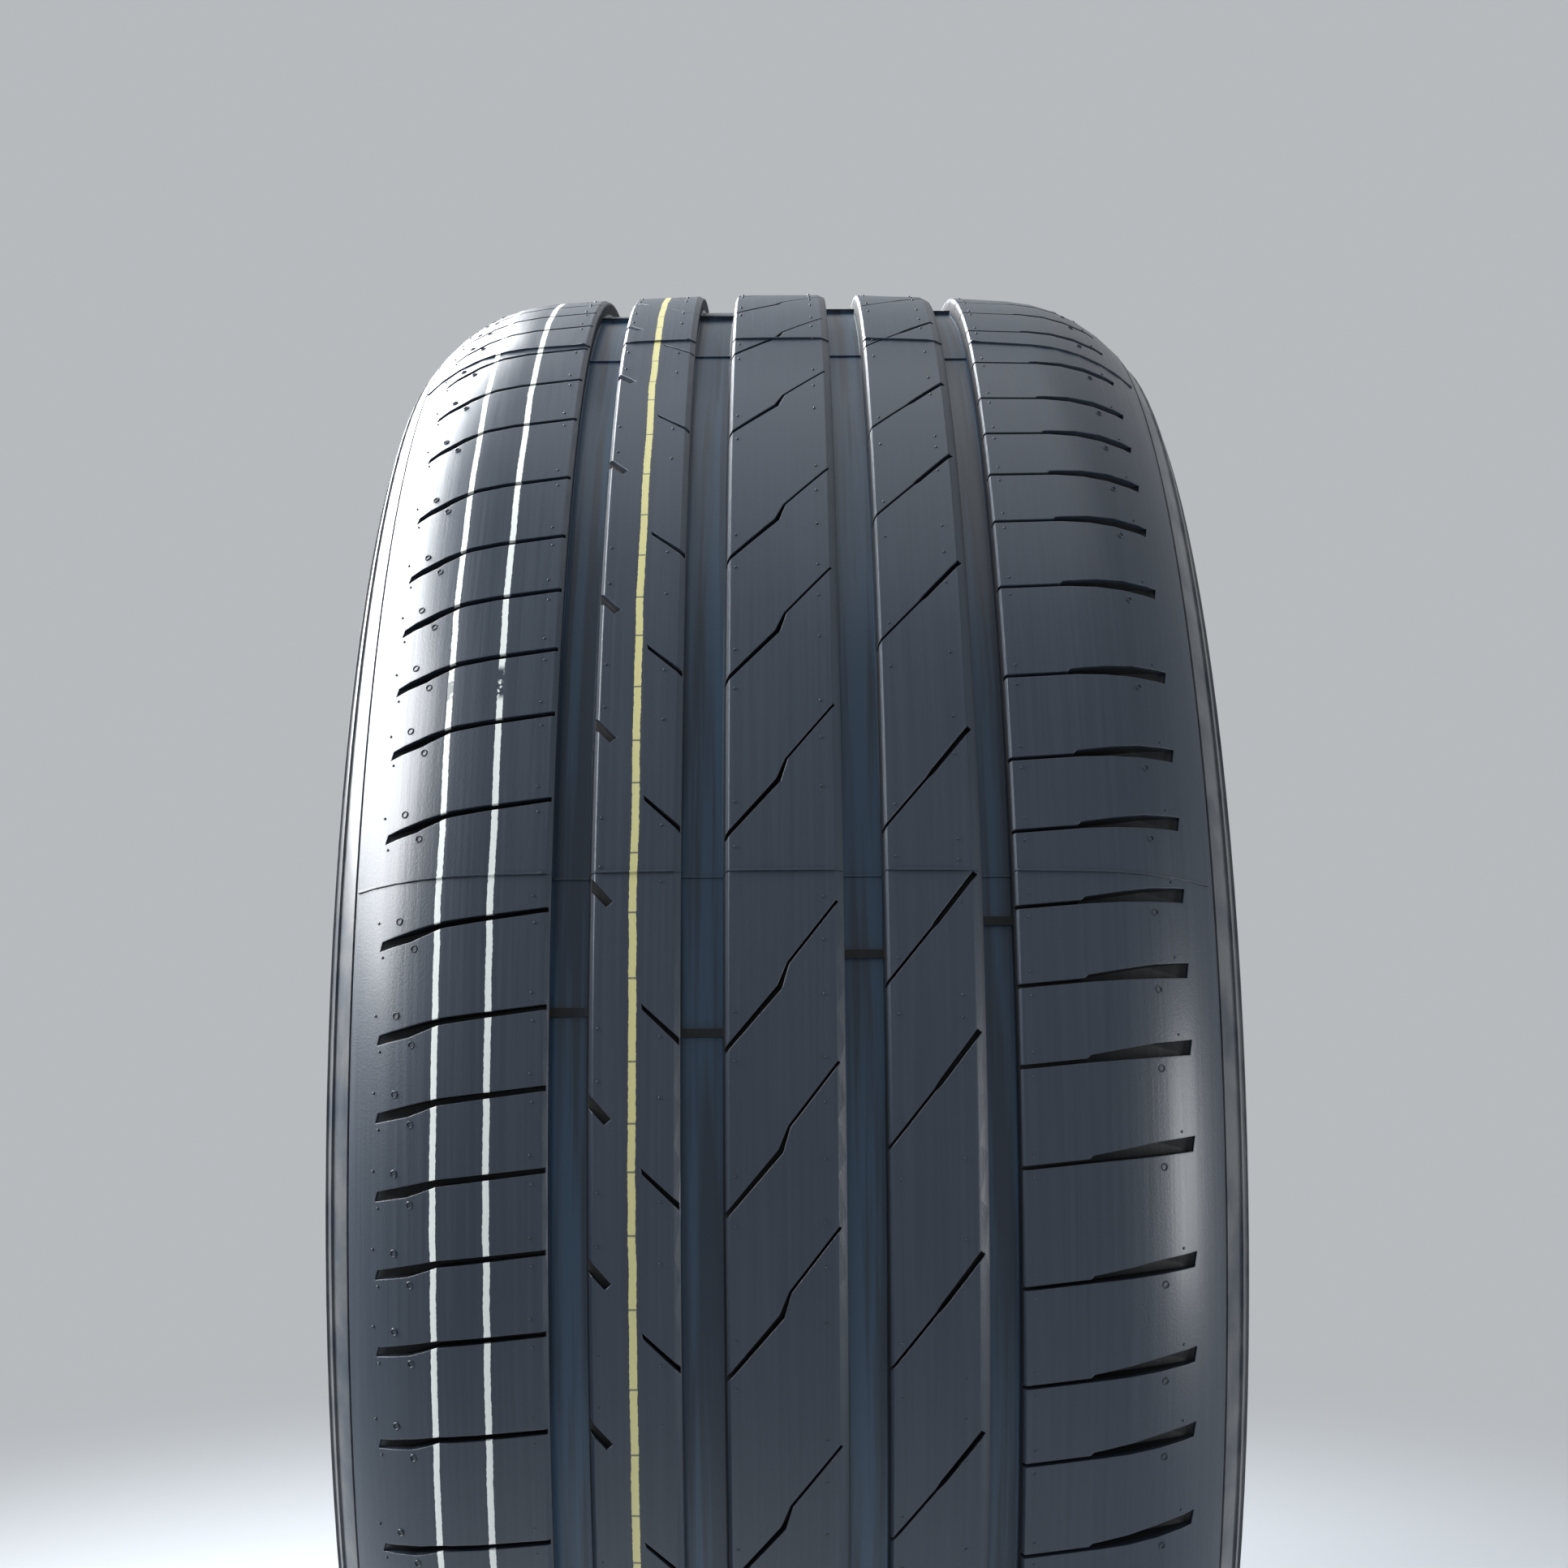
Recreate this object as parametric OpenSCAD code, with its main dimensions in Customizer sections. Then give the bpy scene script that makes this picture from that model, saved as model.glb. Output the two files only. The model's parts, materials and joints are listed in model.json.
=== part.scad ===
// Car tyre, moulded in one piece: a tread with four grooves round the tyre and
// slanted grooves and sipes across it, two sidewalls with a rim protector
// each, and two beads. The wheel's axle lies along Y, through the origin, and
// the tyre stands on its tread. Lengths are in millimetres.

/* [Overall] */
// Radius over the middle of the tread
outer_radius = 334; // [328:0.5:340]
// Widest width, over the sidewalls
section_width = 272; // [267:0.5:276]
// Width over the outer faces of the beads
bead_width = 240; // [236:0.5:243]
// Radius of the bead seat at the outer face of the bead
seat_radius = 243.7; // [242:0.1:245]
// Length of the flat spot that the tyre stands on, along the tread
contact_length = 62; // [50:1:70]

/* [Outer profile] */
// Radius of the tread's arc across the tyre
crown_radius = 1200; // [1000:10:1500]
// Half width of that arc, where the shoulder starts
crown_half = 88; // [85:0.5:90]
// Radius of the shoulder's arc
shoulder_radius = 60; // [57:0.5:63]
// Radius of the sidewall's arc at its widest
sidewall_radius = 33; // [30:0.5:36]
// Height of the thin raised rings on the sidewall
ring_height = 0.6; // [0.4:0.05:0.9]
// Width of those rings
ring_width = 1.4; // [1:0.1:2]

/* [Walls] */
// Thickness under the middle of the tread, grooves not counted
crown_thickness = 15.5; // [14:0.1:18]
// Thickness of the sidewall at its widest
wall_thickness = 7; // [6:0.1:8]
// Radius inside the shoulder
inner_shoulder_radius = 52; // [50:0.5:54]
// Radius inside the sidewall
inner_wall_radius = 26; // [24:0.5:28]
// Radius inside the foot of the sidewall, above the bead
inner_foot_radius = 22; // [20:0.5:25]

/* [Rim protector and bead] */
// Radius of the rim protector's crest
protector_radius = 268.5; // [267:0.5:270]
// Width of that crest along the sidewall
protector_crest = 4; // [3:0.1:5]
// Distance of the crest inside the widest width
protector_inset = 1; // [0.5:0.1:1.6]
// Depth of the hollow between the sidewall and the crest
protector_hollow = 1.8; // [1:0.1:2.5]
// Height of the rim's flange over the bead seat
flange_height = 13.5; // [12:0.1:15]
// Slope of the bead seat, in degrees
seat_slope = 5; // [4:0.1:6]
// Radius of the bead's heel
heel_radius = 6.5; // [5:0.1:8]
// Width of the bead at its foot
bead_base = 21; // [19:0.1:23]
// Width of the level land at the toe of the bead
toe_land = 5; // [4:0.1:6]

/* [Grooves round the tyre] */
// Depth of the four grooves
groove_depth = 6.6; // [5.5:0.1:7.5]
// Slope of their walls, in degrees
wall_draft = 8; // [5:0.5:12]
// Middle of groove 1, on the left in the photograph
groove_1_place = -61.9; // [-63:0.1:-61]
// Width of groove 1 at the tread
groove_1_width = 12.7; // [11:0.1:14]
// Middle of groove 2
groove_2_place = -24; // [-25:0.1:-23]
// Width of groove 2
groove_2_width = 14.1; // [12:0.1:15]
// Middle of groove 3
groove_3_place = 22.2; // [21.5:0.1:23]
// Width of groove 3
groove_3_width = 13.3; // [12:0.1:15]
// Middle of groove 4, on the right
groove_4_place = 60.7; // [60:0.1:62]
// Width of groove 4
groove_4_width = 10.8; // [10:0.1:13]
// Width of the slanted edge on the left of each groove
wide_edge = 2.6; // [2:0.1:3.2]
// Width of the slanted edge on the right of each groove
narrow_edge = 1.3; // [0.8:0.1:1.8]
// How many rows of wear bars there are round the tyre
wear_rows = 6; // [4:1:8]
// Height of a wear bar over the groove's floor
wear_height = 1.6; // [1.2:0.1:2]
// Length of a wear bar along the groove
wear_length = 2.6; // [2:0.1:6]

/* [Pattern] */
// Shortest distance from one shoulder groove to the next
short_pitch = 23; // [22:0.1:24]
// Middle distance
middle_pitch = 28.3; // [27:0.1:29.5]
// Longest distance
long_pitch = 33.8; // [32.5:0.1:35]
// Depth of a shoulder groove where it is deepest
shoulder_depth = 6; // [4.5:0.1:7]
// Half width of the tread at the outer ends of the shoulder grooves
tread_half = 117.5; // [115:0.5:119]
// Depth that is left at those outer ends
run_out_depth = 0.8; // [0.5:0.1:1.4]
// Width of a sipe where it is wide
wide_sipe = 1.6; // [1.2:0.1:2]
// Width of a sipe where it is narrow
thin_sipe = 0.8; // [0.6:0.1:1.1]
// Depth of the sipes
sipe_depth = 5; // [4:0.1:6]
// Depth of the notches in rib 2
notch_depth = 4; // [3:0.1:5]

/* [Hidden] */
over = 8;                    // how far a cutter reaches past the tread
half_width = section_width / 2;
bead_half = bead_width / 2;
deg = 180 / PI;

// Outline of the outside: crown, shoulder and sidewall are tangent arcs. Points
// are [radius, distance from the tyre's middle plane].
function on_arc(centre, radius, from, to, steps) =
    [for (i = [0:steps]) let (t = from + (to - from) * i / steps)
        centre + radius * [cos(t), sin(t)]];
crown_centre = [outer_radius - crown_radius, 0];
crown_end = asin(crown_half / crown_radius);
shoulder_centre = crown_centre
    + (crown_radius - shoulder_radius) * [cos(crown_end), sin(crown_end)];
shoulder_end = asin((half_width - sidewall_radius - shoulder_centre[1])
    / (shoulder_radius - sidewall_radius));
sidewall_centre = shoulder_centre
    + (shoulder_radius - sidewall_radius) * [cos(shoulder_end), sin(shoulder_end)];
sidewall_end = 104;

// Foot of the outside: rim protector, flange hollow, heel, seat, land and toe
crest = half_width - protector_inset;
toe_radius = seat_radius - (bead_base - toe_land) * tan(seat_slope);
heel_centre = [seat_radius + heel_radius, bead_half - heel_radius];
foot = concat(
    [[protector_radius + protector_crest / 2 + 4, crest - protector_hollow],
     [protector_radius + protector_crest / 2, crest],
     [protector_radius - protector_crest / 2, crest],
     [seat_radius + flange_height + 2, bead_half + 6],
     [seat_radius + flange_height - 2, bead_half + 2],
     [seat_radius + flange_height - 5, bead_half]],
    on_arc(heel_centre, heel_radius, 90, 180 - seat_slope, 3),
    [[toe_radius, bead_half - bead_base + toe_land],
     [toe_radius, bead_half - bead_base],
     [toe_radius + 2.5, bead_half - bead_base - 2]]);

// Outline of the inside: a line from the toe that touches the foot's arc, then
// tangent arcs inside the sidewall, the shoulder and the crown
inner_crown_radius = crown_radius - crown_thickness;
inner_half = half_width - wall_thickness;
inner_crown_end = crown_end * 0.95;
inner_shoulder_centre = crown_centre
    + (inner_crown_radius - inner_shoulder_radius)
    * [cos(inner_crown_end), sin(inner_crown_end)];
inner_shoulder_end = asin((inner_half - inner_wall_radius - inner_shoulder_centre[1])
    / (inner_shoulder_radius - inner_wall_radius));
inner_wall_centre = inner_shoulder_centre
    + (inner_shoulder_radius - inner_wall_radius)
    * [cos(inner_shoulder_end), sin(inner_shoulder_end)];
inner_foot_centre = [inner_wall_centre[0], inner_half - inner_foot_radius];
toe = foot[len(foot) - 1];
toe_gap = toe - inner_foot_centre;
toe_tangent = 360 + atan2(toe_gap[1], toe_gap[0]) - acos(inner_foot_radius / norm(toe_gap));
inside = concat(
    on_arc(inner_foot_centre, inner_foot_radius, toe_tangent, 90, 4),
    on_arc(inner_wall_centre, inner_wall_radius, 80, inner_shoulder_end, 2),
    on_arc(inner_shoulder_centre, inner_shoulder_radius, inner_shoulder_end - 9,
        inner_crown_end, 5),
    on_arc(crown_centre, inner_crown_radius, inner_crown_end / 2, 0, 1));

groove_places = [groove_1_place, groove_2_place, groove_3_place, groove_4_place];
groove_widths = [groove_1_width, groove_2_width, groove_3_width, groove_4_width];

// Radius of the tread at a distance from the middle plane
function tread_radius(place) = abs(place) < crown_half
    ? crown_centre[0] + sqrt(pow(crown_radius, 2) - pow(place, 2))
    : shoulder_centre[0]
        + sqrt(pow(shoulder_radius, 2) - pow(abs(place) - shoulder_centre[1], 2));

// The crown turns a little at each groove, so that each rib is one smooth face
crown_points = [for (p = groove_places) [tread_radius(p), p]];
side = concat(
    on_arc(shoulder_centre, shoulder_radius, crown_end, shoulder_end, 5),
    on_arc(sidewall_centre, sidewall_radius, shoulder_end + 11, sidewall_end, 5),
    foot, inside);

function mirrored(points) = [for (i = [len(points) - 2:-1:0])
    [points[i][0], -points[i][1]]];

// One sidewall ring, a low bar that stands on the arc at the given turn
module ring_section(turn) {
    translate(sidewall_centre) rotate(turn)
        translate([sidewall_radius - 1, -ring_width / 2])
            square([1 + ring_height, ring_width]);
}

// The fine step where the mould's tread ring met its side plates
module parting_section() {
    translate(shoulder_centre) rotate(shoulder_end - 1)
        translate([shoulder_radius - 0.5, 0]) square([over, 0.9]);
}

module groove_section(i) {
    half = groove_widths[i] / 2;
    top = tread_radius(groove_places[i]);
    floor_half = half - groove_depth * tan(wall_draft);
    translate([top, groove_places[i]]) polygon([
        [-groove_depth, -floor_half], [-groove_depth, floor_half],
        [-narrow_edge, half], [0, half + narrow_edge * 0.7],
        [over, half + narrow_edge * 0.7 + over], [over, -half - over],
        [0.05, -half - wide_edge * 0.5], [-wide_edge * 0.45, -half + wide_edge * 0.5],
        [-wide_edge * 0.45 - 1, -half + wide_edge * 0.5]]);
}

module section() {
    difference() {
        union() {
            polygon(concat(mirrored(side), crown_points, side));
            for (turn = [62, 75]) {
                ring_section(turn);
                mirror([0, 1]) ring_section(turn);
            }
        }
        for (i = [0:3]) groove_section(i);
        parting_section();
        mirror([0, 1]) parting_section();
    }
}

module carcass() {
    rotate([-90, 0, 0]) rotate_extrude($fn = 180) section();
}

// Pitches follow a fixed order of 26 that repeats three times round the tyre,
// and are fitted to the circumference
pitches = [short_pitch, middle_pitch, long_pitch];
pitch_order = [0, 1,  1, 1,  2, 1,  0, 0,  0, 1,  2, 1,  0, 0,  0, 0,  1, 2,
    1, 0,  1, 1,  2, 1,  0, 0];
pitch_repeats = 3;
pitch_count = len(pitch_order) * pitch_repeats;
first_pitch_angle = 22.9;
function run(k) = k == 0 ? 0 : run(k - 1) + pitches[pitch_order[(k - 1) % len(pitch_order)]];
full_run = run(pitch_count);
function pitch_angle(k) = first_pitch_angle + 360 * run(k) / full_run;
function turn(length) = length / outer_radius * deg;

// Plan outline of a sipe: a path with a width at each of its points. Plan
// points are [distance round the tyre, distance from the middle plane].
function heading(path, i) = let (
    a = path[max(i - 1, 0)], b = path[min(i + 1, len(path) - 1)]) (b - a) / norm(b - a);
function edge_of(path, widths, s) = [for (i = [0:len(path) - 1])
    let (h = heading(path, i)) path[i] + s * widths[i] / 2 * [-h[1], h[0]]];
function backwards(points) = [for (i = [len(points) - 1:-1:0]) points[i]];
function ribbon(path, widths) =
    concat(edge_of(path, widths, 1), backwards(edge_of(path, widths, -1)));

// Cuts a plan outline into the tread, centred on its middle round the tyre
module cut_plan(pitch, middle, points, depth) {
    rotate([0, pitch_angle(pitch) + turn(middle), 0])
        translate([0, 0, outer_radius - depth])
            linear_extrude(depth + over)
                polygon([for (p = points) p - [middle, 0]]);
}

rib_2_left = groove_1_place + groove_1_width / 2;
rib_2_right = groove_2_place - groove_2_width / 2;
rib_3_left = groove_2_place + groove_2_width / 2;
rib_3_right = groove_3_place - groove_3_width / 2 - wide_edge / 4;
rib_4_left = groove_3_place + groove_3_width / 2;
rib_4_right = groove_4_place - groove_4_width / 2 - wide_edge / 4;

// Rib 2 has a short wide notch from its left groove and a pointed sipe that
// runs out into its right groove
module rib_2_cuts(pitch) {
    cut_plan(pitch, 15, [[9.6, rib_2_left - 2], [19, rib_2_left + 6.4],
        [20.6, rib_2_left + 4.5], [13.6, rib_2_left - 2]], notch_depth);
    cut_plan(pitch, -9, [[-13.4, rib_2_right - 9.8], [-3.6, rib_2_right + 1],
        [-1.6, rib_2_right + 1], [-11.6, rib_2_right - 9.4]], sipe_depth);
}

// Rib 3 has one sipe right across, with a kink at its middle
module rib_3_cuts(pitch) {
    kink = (rib_3_left + rib_3_right) / 2;
    cut_plan(pitch, -21.4, ribbon(
        [[1.7, rib_3_left - 1.5], [-17.8, kink - 0.6], [-24.6, kink + 1.8],
         [-42.6, rib_3_right]],
        [wide_sipe * 0.75, wide_sipe, thin_sipe, thin_sipe]), sipe_depth);
}

// Rib 4 has a slanted sipe that is thin at first and then wide
module rib_4_cuts(pitch) {
    cut_plan(pitch, -81, ribbon(
        [[-62.8, rib_4_left - 1.5], [-80.5, (rib_4_left + rib_4_right) / 2],
         [-82.5, (rib_4_left + rib_4_right) / 2 + 1.6], [-97.1, rib_4_right]],
        [thin_sipe, thin_sipe, wide_sipe * 0.9, wide_sipe]), sipe_depth);
}

// A shoulder groove has a flat floor that slopes up to the tread at its outer
// end. Its outline is given from the groove's inner end outwards.
deep_place = 90;
floor_run = tread_half - deep_place;
deep_floor = tread_radius(deep_place) - shoulder_depth;
floor_slope = atan((deep_floor - tread_radius(tread_half) + run_out_depth) / floor_run);
module shoulder_cut(pitch, start, outline) {
    rotate([0, pitch_angle(pitch) + turn(start), 0])
        translate([0, deep_place, deep_floor]) rotate([-floor_slope, 0, 0])
            linear_extrude(shoulder_depth + over + 4)
                polygon([for (p = outline) p - [0, deep_place]]);
}

left_inner = -(groove_1_place - groove_1_width / 2) - 1.5;
module left_shoulder_cut(pitch) {
    mirror([0, 1, 0]) shoulder_cut(pitch, -13.4, [[-0.2, left_inner],
        [3.2, 97.7], [7.1, tread_half - 0.8], [9.9, tread_half],
        [8.2, 106.5], [5.2, 97.7], [1.3, left_inner]]);
}

right_inner = groove_4_place + groove_4_width / 2 - 1;
module right_shoulder_cut(pitch) {
    shoulder_cut(pitch, -87.4, [[0.1, right_inner], [-1.7, 84], [-2.7, 85],
        [-6.1, 104.4], [-7.4, tread_half - 1], [-3, tread_half - 1.8],
        [-0.6, 84.9], [1.3, right_inner]]);
}

// Wear bars cross the grooves, each groove's a little further round
wear_angles = [77.4, 78.5, 74.6, 72.9];
module wear_bars() {
    for (row = [0:wear_rows - 1], i = [0:3])
        rotate([0, wear_angles[i] + row * 360 / wear_rows, 0])
            translate([-wear_length / 2, groove_places[i] - groove_widths[i] / 2,
                tread_radius(groove_places[i]) - groove_depth - 2])
                cube([wear_length, groove_widths[i], 2 + wear_height]);
}

module tyre() {
    flat = sqrt(pow(outer_radius, 2) - pow(contact_length / 2, 2));
    color([0.16, 0.17, 0.19]) difference() {
        union() {
            carcass();
            wear_bars();
        }
        for (k = [0:pitch_count - 1]) {
            left_shoulder_cut(k);
            right_shoulder_cut(k);
        }
        for (k = [0:2:pitch_count - 2]) {
            rib_2_cuts(k);
            rib_3_cuts(k);
            rib_4_cuts(k);
        }
        translate([-contact_length, -half_width, -flat - over])
            cube([2 * contact_length, section_width, over]);
    }
}

tyre();
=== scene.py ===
# A new car tyre, standing on its tread on a pale studio floor, seen from in
# front of the tread. Lengths are in metres, and the wheel's axle lies along Y.
import json
import math
import bpy
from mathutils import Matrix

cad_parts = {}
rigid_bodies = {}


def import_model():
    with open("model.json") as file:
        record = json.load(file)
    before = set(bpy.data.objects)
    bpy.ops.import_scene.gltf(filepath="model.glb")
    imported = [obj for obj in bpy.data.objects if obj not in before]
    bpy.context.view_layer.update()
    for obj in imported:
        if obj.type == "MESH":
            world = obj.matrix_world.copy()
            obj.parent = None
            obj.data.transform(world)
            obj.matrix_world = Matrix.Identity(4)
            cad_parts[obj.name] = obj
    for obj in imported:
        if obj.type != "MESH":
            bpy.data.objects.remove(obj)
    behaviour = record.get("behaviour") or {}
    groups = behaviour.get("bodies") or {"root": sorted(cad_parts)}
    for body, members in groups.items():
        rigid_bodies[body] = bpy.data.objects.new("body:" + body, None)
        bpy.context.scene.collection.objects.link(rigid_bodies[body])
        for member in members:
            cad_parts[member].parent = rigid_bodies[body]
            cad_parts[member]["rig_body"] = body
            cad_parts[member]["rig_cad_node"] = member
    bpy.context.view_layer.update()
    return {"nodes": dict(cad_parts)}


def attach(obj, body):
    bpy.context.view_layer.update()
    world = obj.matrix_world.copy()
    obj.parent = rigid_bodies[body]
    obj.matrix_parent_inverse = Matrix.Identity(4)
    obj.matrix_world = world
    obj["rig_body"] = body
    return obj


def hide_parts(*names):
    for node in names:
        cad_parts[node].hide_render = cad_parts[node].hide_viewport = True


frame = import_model()
bpy.ops.object.select_all(action="DESELECT")


# Tyre: one moulding of black rubber. The solid from CAD is merged into a skin
# with smooth flanks and crisp groove edges. Three painted stripes run round it.
TREAD_RADIUS = 0.334
CROWN_ARC, CROWN_HALF = 1.2, 0.088
SHOULDER_ARC, WALL_ARC, HALF_WIDTH = 0.060, 0.033, 0.136
CROWN_END = math.asin(CROWN_HALF / CROWN_ARC)
SHOULDER_CENTRE = (TREAD_RADIUS - CROWN_ARC + (CROWN_ARC - SHOULDER_ARC) * math.cos(CROWN_END),
                   (CROWN_ARC - SHOULDER_ARC) * math.sin(CROWN_END))
SHOULDER_END = math.asin((HALF_WIDTH - WALL_ARC - SHOULDER_CENTRE[1])
                         / (SHOULDER_ARC - WALL_ARC))
WALL_CENTRE = (SHOULDER_CENTRE[0] + (SHOULDER_ARC - WALL_ARC) * math.cos(SHOULDER_END),
               HALF_WIDTH - WALL_ARC)
GROOVE_DEPTH = 0.0066
FLOOR = -math.sqrt(TREAD_RADIUS ** 2 - 0.031 ** 2)


class Value:
    """A node's output that can stand in a Python expression."""

    def __init__(self, material, socket):
        self.material, self.socket = material, socket

    def math(self, operation, *others):
        return self.material.node(
            "ShaderNodeMath", dict(operation=operation),
            **{str(i): v for i, v in enumerate((self, *others))})

    def __add__(self, other):
        return self.math("ADD", other)

    def __sub__(self, other):
        return self.math("SUBTRACT", other)

    def __rsub__(self, other):
        return self.math("MULTIPLY", -1) + other

    def __mul__(self, other):
        return self.math("MULTIPLY", other)

    def __abs__(self):
        return self.math("ABSOLUTE")

    __radd__, __rmul__ = __add__, __mul__

    def sqrt(self):
        return self.math("SQRT")

    def angle_from(self, other):
        return self.math("ARCTAN2", other)

    def under(self, limit, soft):
        """1 where the value is under the limit, falling to 0 over a soft edge."""
        return self.material.node(
            "ShaderNodeMapRange", dict(interpolation_type="SMOOTHSTEP"),
            Value=self, From_Min=limit + soft / 2, From_Max=limit - soft / 2)

    def over(self, limit, soft):
        return self.under(limit, -soft)


class Material:
    """A node tree with its main shader, built up through that shader's inputs."""

    def __init__(self, data, shader="Principled BSDF"):
        data.use_nodes = True
        self.data, self.tree = data, data.node_tree
        self.shader = self.tree.nodes[shader]

    def node(self, kind, settings={}, output=0, **inputs):
        made = self.tree.nodes.new(kind)
        for name, setting in settings.items():
            setattr(made, name, setting)
        for name, value in inputs.items():
            key = int(name) if name.isdigit() else name.replace("_", " ")
            self.feed(made.inputs[key], value)
        return Value(self, made.outputs[output])

    def feed(self, socket, value):
        if isinstance(value, Value):
            self.tree.links.new(value.socket, socket)
        else:
            socket.default_value = value

    def mix(self, factor, first, second):
        """Colours, from the first where the factor is 0 to the second."""
        made = self.tree.nodes.new("ShaderNodeMix")
        made.data_type = "RGBA"
        for place, value in ((0, factor), (6, first), (7, second)):
            self.feed(made.inputs[place], value)
        return Value(self, made.outputs[2])

    def noise(self, vector, scale, detail):
        return self.node("ShaderNodeTexNoise", output="Fac",
                         Vector=vector, Scale=scale, Detail=detail)

    def set(self, **inputs):
        for name, value in inputs.items():
            self.feed(self.shader.inputs[name.replace("_", " ")], value)


rubber = Material(bpy.data.materials.new("tread_rubber"))
place = rubber.node("ShaderNodeTexCoord", output="Object")
split = rubber.node("ShaderNodeSeparateXYZ", Vector=place)
x, y, z = (Value(rubber, split.socket.node.outputs[axis]) for axis in "XYZ")
radius = (x * x + z * z).sqrt()
turn = x.angle_from(z)
side = abs(y)
to_crown = radius - (TREAD_RADIUS - CROWN_ARC)
to_shoulder, out_from_shoulder = radius - SHOULDER_CENTRE[0], side - SHOULDER_CENTRE[1]
crown_depth = CROWN_ARC - (to_crown * to_crown + y * y).sqrt()
shoulder_depth = SHOULDER_ARC - (
    to_shoulder * to_shoulder + out_from_shoulder * out_from_shoulder).sqrt()
depth = crown_depth + side.over(CROWN_HALF, 0.0002) * (shoulder_depth - crown_depth)

# The floors of the round grooves, all cuts in the tread, and the sidewalls; the first two carry
# painted shade.
# The first two take in the inner liner too, which lies deeper still.
NEAR_FLOOR, CUT_START = 0.0012, 0.0014
ROUND_GROOVES_REACH, CUTS_REACH, PARTING_LINE = 0.0700, 0.1215, 0.1262
in_groove = (depth.over(GROOVE_DEPTH - NEAR_FLOOR, 0.0008)
             * side.under(ROUND_GROOVES_REACH, 0.001))
in_cut = depth.over(CUT_START, 0.0014) * side.under(CUTS_REACH, 0.001)
on_wall = side.over(PARTING_LINE, 0.0006)

# Rubber flows round the mould as it fills, which leaves fine streaks that way
streaks = rubber.noise(rubber.node(
    "ShaderNodeCombineXYZ", X=turn * 4, Y=y * 700, Z=radius * 500), 1.0, 4.0)
wide_streaks = rubber.noise(rubber.node(
    "ShaderNodeCombineXYZ", X=turn * 2.5, Y=y * 260, Z=radius * 90), 1.0, 3.0)
grain = rubber.noise(place, 1500.0, 3.0)
mottle = rubber.noise(place, 11.0, 5.0)
DARK_RUBBER, PALE_RUBBER = (0.011, 0.019, 0.031, 1), (0.022, 0.033, 0.050, 1)
# The cuts' near-black colour is painted shade, standing for the shade inside them
PALE_STREAK, CUT_PAINTED_SHADE = (0.030, 0.042, 0.060, 1), (0.004, 0.005, 0.007, 1)
# The round grooves' floors get painted shade with a painted blue reflection, and their streaks a
# paler painted blue sheen
GROOVE_FLOOR_PAINTED_SHADE, GROOVE_STREAK_PAINTED_SHEEN = (0.006, 0.020, 0.042, 1), (0.022, 0.062, 0.115, 1)
colour = rubber.mix(mottle, DARK_RUBBER, PALE_RUBBER)
colour = rubber.mix(streaks.over(0.55, 0.5) * 0.5, colour, PALE_STREAK)
# Painted shade: the cuts in the tread are coloured near black
colour = rubber.mix(in_cut, colour, CUT_PAINTED_SHADE)
# Painted shade and painted reflection: the floors of the round grooves are painted darker and blue,
# their streaks paler blue
colour = rubber.mix(in_groove, colour, GROOVE_FLOOR_PAINTED_SHADE)
colour = rubber.mix(wide_streaks.over(0.50, 0.2) * in_groove, colour, GROOVE_STREAK_PAINTED_SHEEN)

# Painted reflection: the sidewalls are painted paler in patches, a painted sheen standing for light
# glancing off them, stronger in some places
SIDEWALL_PAINTED_SHEEN = (0.085, 0.088, 0.092, 1)
painted_sheen_patches = rubber.noise(place, 60.0, 5.0)
colour = rubber.mix(on_wall * painted_sheen_patches.over(0.45, 0.4), colour, SIDEWALL_PAINTED_SHEEN)

# Paint: two white stripes and a yellow one, laid on the tread's surface only.
# The paint wanders a little, has cracked across, and is smudged in one place.
WHITE, YELLOW = (0.80, 0.82, 0.78, 1), (0.60, 0.55, 0.25, 1)
SMUDGE = math.radians(59.7)
PAINT_DEPTH, WANDER, FRAY = 0.0011, 0.0016, 0.0005
wander = rubber.noise(rubber.node("ShaderNodeCombineXYZ", X=turn * 9), 1.0, 2.0)
fray = rubber.noise(place, 700.0, 2.0)
cracks = rubber.node(
    "ShaderNodeTexVoronoi", dict(voronoi_dimensions="1D", feature="DISTANCE_TO_EDGE"),
    W=turn * 18, Scale=1.0).under(0.016, 0.014)
smudge = abs(turn - SMUDGE).under(0.016, 0.008) * rubber.noise(place, 420.0, 2.0).over(0.45, 0.1)
painted = depth.under(PAINT_DEPTH, 0.0006)
for middle, half, paint, worn in (
        (-0.0996, 0.00088, WHITE, smudge * 0.6),
        (-0.0843, 0.00092, WHITE, smudge),
        (-0.0433, 0.00108, YELLOW, cracks * 0.75)):
    edge = half + (fray - 0.5) * FRAY
    line = (edge - abs(y - middle + (wander - 0.5) * WANDER)).over(0, 0.0002)
    shade = rubber.mix(streaks, paint, tuple(0.86 * c for c in paint[:3]) + (1,))
    colour = rubber.mix(line * painted * (1 - worn), colour, shade)

# The finish is satin, with a thin sheen of wax, and the open cuts are dull
EDGE_ROUNDING, GRAIN_HEIGHT = 0.0005, 0.00012
soft_edges = rubber.node("ShaderNodeBevel", dict(samples=4), Radius=EDGE_ROUNDING)
bump = rubber.node("ShaderNodeBump", Strength=0.35, Distance=GRAIN_HEIGHT,
                   Height=grain + streaks * 1.2, Normal=soft_edges)
open_cut = in_cut * (1 - in_groove)
rubber.set(Base_Color=colour, Normal=bump, Coat_Weight=0.22 * (1 - open_cut), Coat_Roughness=0.2,
           Roughness=0.26 + streaks * 0.18 + mottle * 0.08 + open_cut * 0.3)

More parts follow.
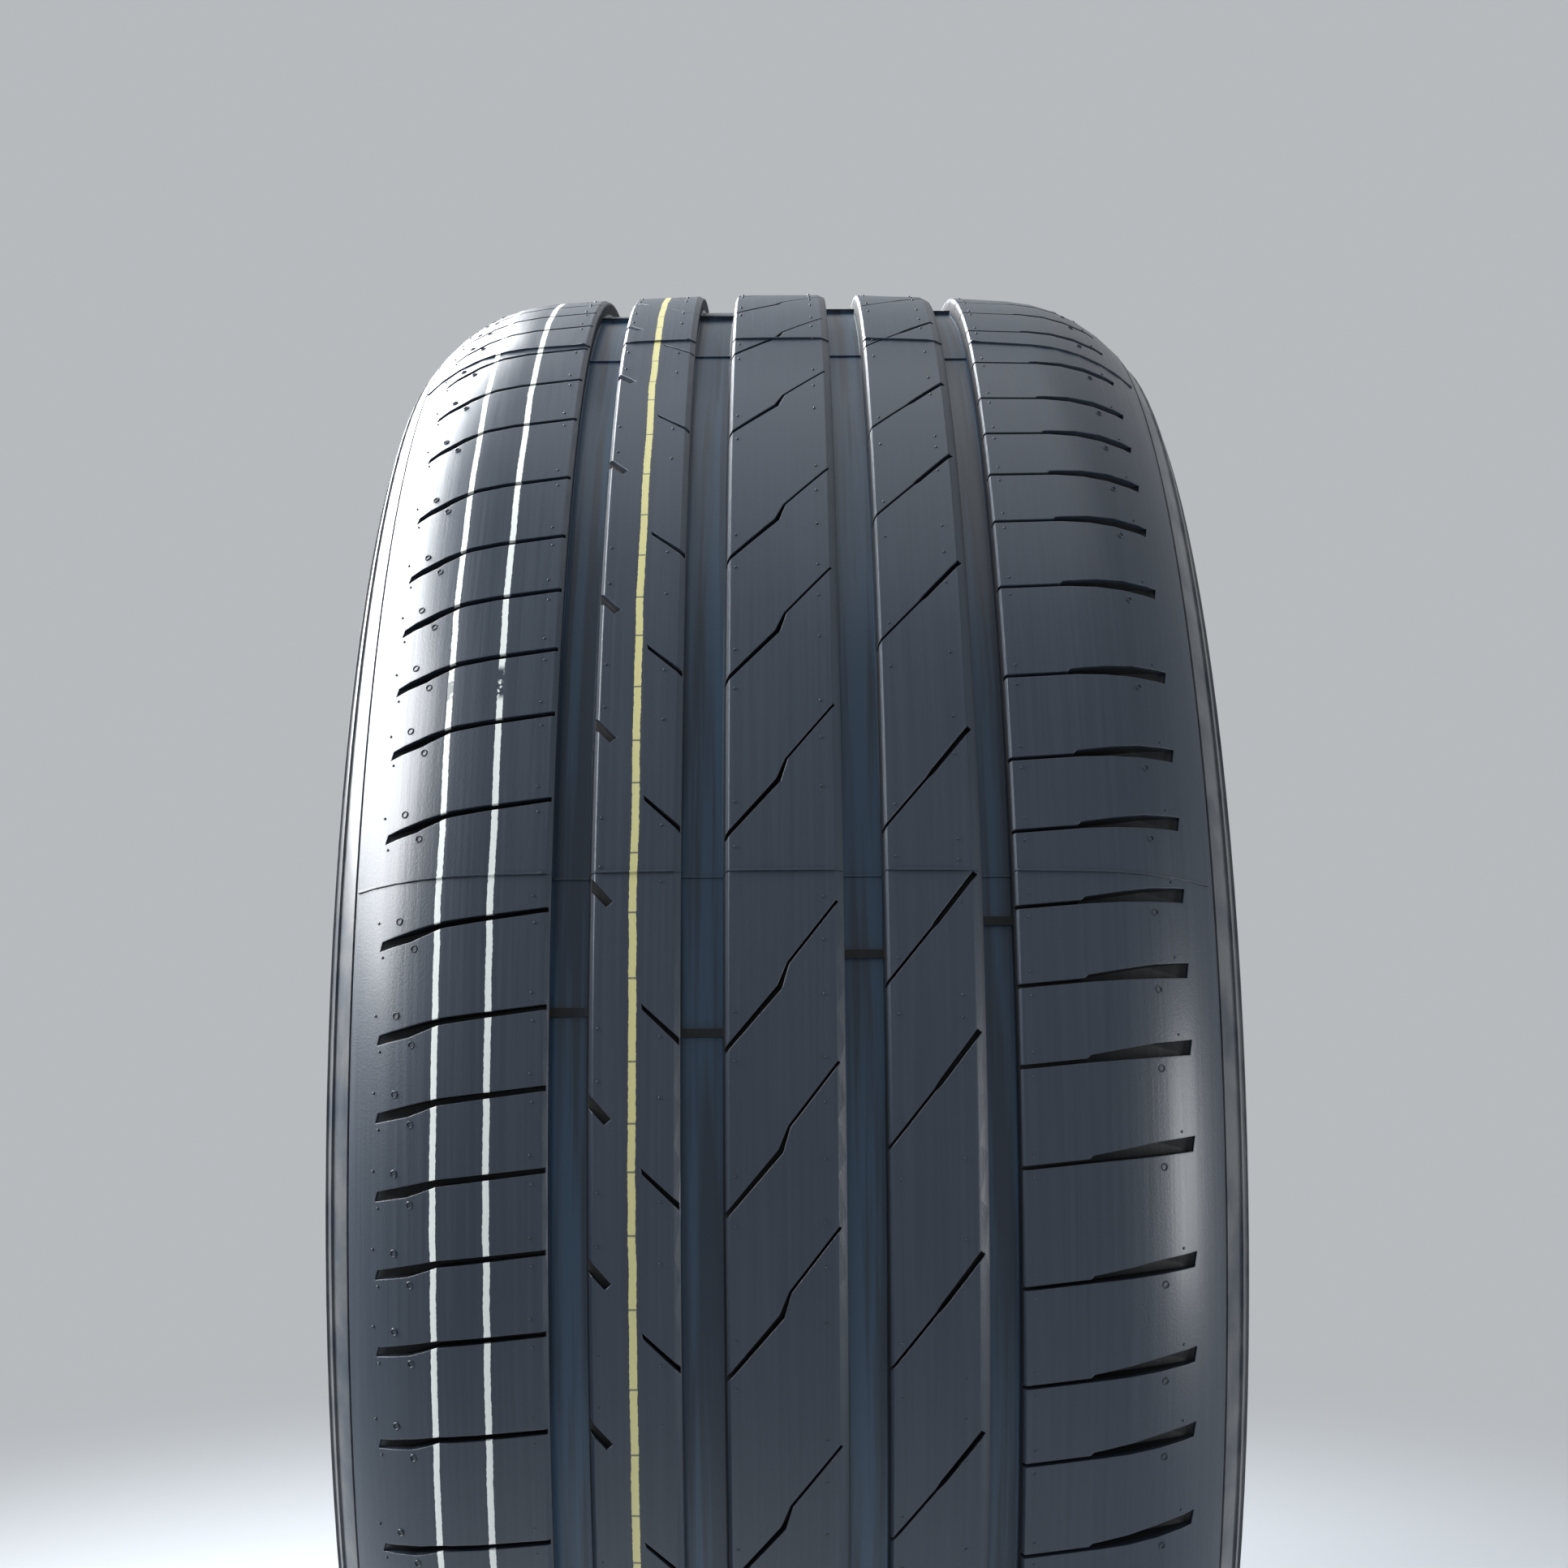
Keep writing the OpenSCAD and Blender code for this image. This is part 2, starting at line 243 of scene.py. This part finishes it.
MERGE = 0.00002
tyre = frame["nodes"]["tyre"].copy()
tyre.data = tyre.data.copy()
tyre.name = "tyre_skin"
bpy.context.collection.objects.link(tyre)
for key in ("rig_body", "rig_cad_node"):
    if key in tyre:
        del tyre[key]
tyre.parent = None
bpy.context.view_layer.objects.active = tyre
tyre.select_set(True)
bpy.ops.object.mode_set(mode="EDIT")
bpy.ops.mesh.select_all(action="SELECT")
bpy.ops.mesh.remove_doubles(threshold=MERGE)
bpy.ops.object.mode_set(mode="OBJECT")
bpy.ops.object.shade_smooth()


def outside_lean(height, across):
    """How far the outside's normal leans from the radius, towards the side."""
    lean = math.atan2(abs(across), height - TREAD_RADIUS + CROWN_ARC)
    if abs(across) > CROWN_HALF:
        lean = math.atan2(abs(across) - SHOULDER_CENTRE[1], height - SHOULDER_CENTRE[0])
    if lean > SHOULDER_END:
        lean = math.atan2(abs(across) - WALL_CENTRE[1], height - WALL_CENTRE[0])
    return math.copysign(lean, across)


# Every face that runs round the tyre is shaded as the round surface that it is
# part of, and the walls of the sipes and cross grooves are shaded flat.
SAME_SURFACE, TURNED_ASIDE, ON_FLOOR = math.radians(14), 0.13, FLOOR + 0.00001
normals = []
for face in tyre.data.polygons:
    middle = face.center
    height = math.hypot(middle.x, middle.z)
    radial = (middle.x / height, middle.z / height)
    outward = face.normal.x * radial[0] + face.normal.z * radial[1]
    sideways = face.normal.x * radial[1] - face.normal.z * radial[0]
    lean = math.atan2(face.normal.y, outward)
    smooth = abs(lean - outside_lean(height, middle.y)) < SAME_SURFACE
    for corner in face.vertices:
        point = tyre.data.vertices[corner].co
        if abs(sideways) > TURNED_ASIDE or middle.z < ON_FLOOR:
            normals.append(face.normal.copy())
            continue
        height = math.hypot(point.x, point.z)
        tilt = outside_lean(height, point.y) if smooth else lean
        normals.append((math.cos(tilt) * point.x / height, math.sin(tilt),
                        math.cos(tilt) * point.z / height))
tyre.data.normals_split_custom_set(normals)
tyre.data.materials.clear()
tyre.data.materials.append(rubber.data)
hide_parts("tyre")
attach(tyre, "root")


# Mould seams: nine thin ridges of rubber across the tread, where the segments
# of the mould met. Each runs over the ribs and down into the four grooves.
SEAM_TURNS = (28.9, 70.5, 111.2)
SEAM_WIDTH, SEAM_HEIGHT, SEAM_ROOT = 0.0006, 0.0005, 0.0005
SEAM_REACH, SEAM_STEP = 0.1255, 0.006
SMOOTH_BELOW = math.radians(40)
GROOVES = ((-0.0619, 0.0127), (-0.0240, 0.0141), (0.0222, 0.0133), (0.0607, 0.0108))


def tread_surface(across):
    """Radius and lean of the tread at a place across it."""
    if abs(across) < CROWN_HALF:
        return (TREAD_RADIUS - CROWN_ARC + math.sqrt(CROWN_ARC ** 2 - across ** 2),
                math.asin(across / CROWN_ARC))
    lean = math.asin((abs(across) - SHOULDER_CENTRE[1]) / SHOULDER_ARC)
    return (SHOULDER_CENTRE[0] + SHOULDER_ARC * math.cos(lean),
            math.copysign(lean, across))


def finish(piece, name):
    """A piece of rubber that moves with the tyre, cut off level with the floor."""
    bpy.ops.object.mode_set(mode="EDIT")
    bpy.ops.mesh.select_all(action="SELECT")
    bpy.ops.mesh.bisect(plane_co=(0, 0, FLOOR), plane_no=(0, 0, 1), clear_inner=True,
                        use_fill=True)
    bpy.ops.mesh.select_all(action="SELECT")
    bpy.ops.mesh.normals_make_consistent(inside=False)
    bpy.ops.object.mode_set(mode="OBJECT")
    bpy.ops.object.shade_smooth_by_angle(angle=SMOOTH_BELOW)
    piece.name = name
    piece.data.materials.clear()
    piece.data.materials.append(rubber.data)
    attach(piece, "root")
    bpy.ops.object.select_all(action="DESELECT")


def copies_round(pattern, turns):
    """Copies of a piece at the given turns from the top, joined into one."""
    bpy.ops.object.select_all(action="DESELECT")
    for angle in turns:
        copy = pattern.copy()
        copy.data = pattern.data.copy()
        copy.rotation_euler = (0, math.radians(angle), 0)
        bpy.context.collection.objects.link(copy)
        copy.select_set(True)
    bpy.context.view_layer.objects.active = copy
    bpy.ops.object.transform_apply(location=True, rotation=True, scale=True)
    bpy.ops.object.join()
    bpy.data.objects.remove(pattern)
    return bpy.context.object


# The seam's path across the tread, down the slanted edges of each groove
WIDE_EDGE, WIDE_DROP, FOOT = 0.0013, 0.0012, 0.0009
NARROW_EDGE, NARROW_DROP = 0.0010, 0.0014
seam_path = []
across = -SEAM_REACH
for middle, width in GROOVES + ((SEAM_REACH + 0.1, 0),):
    left, right = middle - width / 2, middle + width / 2
    while across < min(left - WIDE_EDGE, SEAM_REACH):
        seam_path.append((across, tread_surface(across)[0]))
        across += SEAM_STEP
    if width:
        top = tread_surface(middle)[0]
        seam_path += [(left - WIDE_EDGE, top), (left + WIDE_EDGE, top - WIDE_DROP),
                      (left + FOOT, top - GROOVE_DEPTH), (right - FOOT, top - GROOVE_DEPTH),
                      (right, top - NARROW_DROP), (right + NARROW_EDGE, top)]
        across = right + WIDE_EDGE + SEAM_STEP / 2
bpy.ops.mesh.primitive_plane_add(size=1, rotation=(math.pi / 2, 0, 0))
seam = bpy.context.object
bpy.ops.object.mode_set(mode="EDIT")
bpy.ops.transform.resize(value=(SEAM_WIDTH, 1, SEAM_HEIGHT + SEAM_ROOT))
bpy.ops.transform.translate(value=(0, seam_path[0][0],
                                   seam_path[0][1] + (SEAM_HEIGHT - SEAM_ROOT) / 2))
for start, end in zip(seam_path, seam_path[1:]):
    bpy.ops.mesh.extrude_region_move(
        TRANSFORM_OT_translate={"value": (0, end[0] - start[0], end[1] - start[1])})
bpy.ops.object.mode_set(mode="OBJECT")
bpy.ops.object.transform_apply(location=True, rotation=True, scale=True)
seams = copies_round(seam, [turn + third for third in (0, 120, 240) for turn in SEAM_TURNS])
finish(seams, "mould_seams")


# Vent marks: where air left the mould, small raised rings and dots of rubber
# stay beside the grooves and sipes. They repeat with the pitches of the tread.
PITCHES = (0.0230, 0.0283, 0.0338)
PITCH_ORDER = (0, 1, 1, 1, 2, 1, 0, 0, 0, 1, 2, 1, 0, 0, 0, 0, 1, 2,
               1, 0, 1, 1, 2, 1, 0, 0) * 3
FIRST_PITCH = 22.9
RINGS = ((-0.1065, -0.0027), (-0.1114, -0.0115), (0.1066, -0.0864))
SHOULDER_DOTS = ((-0.1180, -0.0120), (-0.1164, -0.0012), (-0.0720, -0.0170), (-0.0715, -0.0090),
                 (0.1122, -0.0964), (0.0695, -0.0910), (0.0695, -0.0841))
RIB_DOTS = ((-0.0530, -0.0065), (-0.0530, 0.0085), (-0.0355, -0.0040), (-0.0355, 0.0132),
            (-0.0144, -0.0109), (-0.0144, 0.0030), (0.0109, -0.0440), (0.0109, -0.0315),
            (0.0109, -0.0157), (0.0320, -0.0560), (0.0320, -0.0720), (0.0500, -0.1010),
            (0.0500, -0.0884), (0.0500, -0.0614))

RING_RADIUS, RING_WIRE, DOT_RADIUS, DOT_FLATNESS = 0.00095, 0.00022, 0.00045, 0.6


def set_mark(across, along, ring):
    """One ring or dot, half sunk in the tread, near the top of the tyre."""
    height, lean = tread_surface(across)
    angle = along / TREAD_RADIUS
    where = (height * math.sin(angle), across, height * math.cos(angle))
    if ring:
        bpy.ops.mesh.primitive_torus_add(
            location=where, rotation=(-lean, angle, 0), major_radius=RING_RADIUS,
            minor_radius=RING_WIRE, major_segments=12, minor_segments=4)
    else:
        bpy.ops.mesh.primitive_uv_sphere_add(
            location=where, rotation=(-lean, angle, 0), radius=DOT_RADIUS,
            scale=(1, 1, DOT_FLATNESS), segments=6, ring_count=4)
    return bpy.context.object


def set_marks(rings, dots):
    marks = [set_mark(*mark, True) for mark in rings] + [set_mark(*mark, False) for mark in dots]
    bpy.ops.object.select_all(action="DESELECT")
    for mark in marks:
        mark.select_set(True)
    bpy.ops.object.transform_apply(location=True, rotation=True, scale=True)
    bpy.ops.object.join()
    return bpy.context.object


round_length = sum(PITCHES[p] for p in PITCH_ORDER)
pitch_turns = [FIRST_PITCH + 360 * sum(PITCHES[p] for p in PITCH_ORDER[:k]) / round_length
               for k in range(len(PITCH_ORDER))]
finish(copies_round(set_marks(RINGS, SHOULDER_DOTS), pitch_turns), "shoulder_vent_marks")
finish(copies_round(set_marks((), RIB_DOTS), pitch_turns[::2]), "rib_vent_marks")


# Studio: a pale floor that fades far off into a pale background, a large lamp
# beside and behind the tread on the left, and a narrow one on the right.
BACKGROUND = (0.47, 0.49, 0.51, 1)
PAPER = (0.50, 0.515, 0.53, 1)
FLOOR_SIZE, FADE_MIDDLE, FADE_WIDTH = 30, 0.75, 0.6
SKY = (0.78, 0.86, 0.97, 1)


def seen(material):
    """1 for rays that show the background, straight or in a reflection."""
    rays = material.node("ShaderNodeLightPath").socket.node.outputs
    camera, glossy, through = (Value(material, rays[name]) for name in (
        "Is Camera Ray", "Is Glossy Ray", "Is Transmission Ray"))
    return (camera + glossy + through).math("MINIMUM", 1)


bpy.ops.mesh.primitive_plane_add(size=FLOOR_SIZE, location=(0, 0, FLOOR))
floor = bpy.context.object
floor.name = "studio_floor"
bpy.ops.object.transform_apply(location=True, rotation=True, scale=True)
paper = Material(bpy.data.materials.new("studio_floor"))
paper.set(Base_Color=PAPER, Roughness=0.8)
split = paper.node("ShaderNodeSeparateXYZ", Vector=paper.node("ShaderNodeTexCoord", output="Object"))
across, along = (Value(paper, split.socket.node.outputs[axis]) for axis in "XY")
far = (across * across + along * along).sqrt().over(FADE_MIDDLE, FADE_WIDTH)
background = paper.node("ShaderNodeEmission", Color=BACKGROUND)
surface = paper.node("ShaderNodeMixShader", **{
    "0": far * seen(paper), "1": Value(paper, paper.shader.outputs[0]), "2": background})
paper.feed(paper.tree.nodes["Material Output"].inputs["Surface"], surface)
floor.data.materials.append(paper.data)

studio = Material(bpy.data.worlds.new("studio"), "Background")
bpy.context.scene.world = studio.data
studio.set(Color=SKY, Strength=0.45)
background = studio.node("ShaderNodeBackground", Color=BACKGROUND)
surface = studio.node("ShaderNodeMixShader", **{
    "0": seen(studio), "1": Value(studio, studio.shader.outputs[0]), "2": background})
studio.feed(studio.tree.nodes["World Output"].inputs["Surface"], surface)


def lamp(name, place, aim, width, height, power, spread=180):
    """A soft rectangular lamp that the camera doesn't see."""
    bpy.ops.object.light_add(type="AREA", location=place)
    made = bpy.context.object
    made.name = name
    made.data.shape = "RECTANGLE"
    made.data.size, made.data.size_y = width, height
    made.data.energy, made.data.color = power, LAMP_COLOUR
    to = [a - b for a, b in zip(aim, place)]
    made.rotation_euler = (math.atan2(math.hypot(to[0], to[1]), -to[2]), 0,
                           math.atan2(to[1], to[0]) - math.pi / 2)
    made.data.spread = math.radians(spread)
    made.visible_camera = False


LAMP_COLOUR = (0.96, 0.98, 1)
LEFT_POWER, LEFT_DISTANCE, LEFT_HEIGHT, LEFT_SPREAD = 10, 1.5, 0.9, 70
LEFT_AIM = (0.1, 0, 0.1)
for name, azimuth in (("left", -82), ("left_middle", -115), ("left_back", -144)):
    lamp(name + "_softbox",
         (LEFT_AIM[0] + LEFT_DISTANCE * math.cos(math.radians(azimuth)),
          LEFT_DISTANCE * math.sin(math.radians(azimuth)), LEFT_HEIGHT),
         LEFT_AIM, 0.9, 1.1, LEFT_POWER, LEFT_SPREAD)
lamp("right_strip", (0.80, 1.30, -0.03), (0.2, 0, 0), 0.42, 0.58, 8)
lamp("top_softbox", (-0.1, 0.2, 2.0), (0, 0, 0), 1.6, 1.2, 4)


# Camera: level, a metre in front of the axle and a hand's width above it, and
# turned a little about its line of sight, as the photograph is.
FOCAL_PIXELS, PICTURE_PIXELS, SENSOR = 2930, 1932, 36
CAMERA_PLACE, CAMERA_ROLL = (0.996, 0, 0.136), math.radians(0.41)
bpy.ops.object.camera_add(location=CAMERA_PLACE,
                          rotation=(math.radians(90), CAMERA_ROLL, math.radians(90)))
camera = bpy.context.object
camera.data.sensor_width = SENSOR
camera.data.lens = SENSOR * FOCAL_PIXELS / PICTURE_PIXELS
bpy.context.scene.camera = camera
bpy.context.scene.view_settings.view_transform = "Standard"
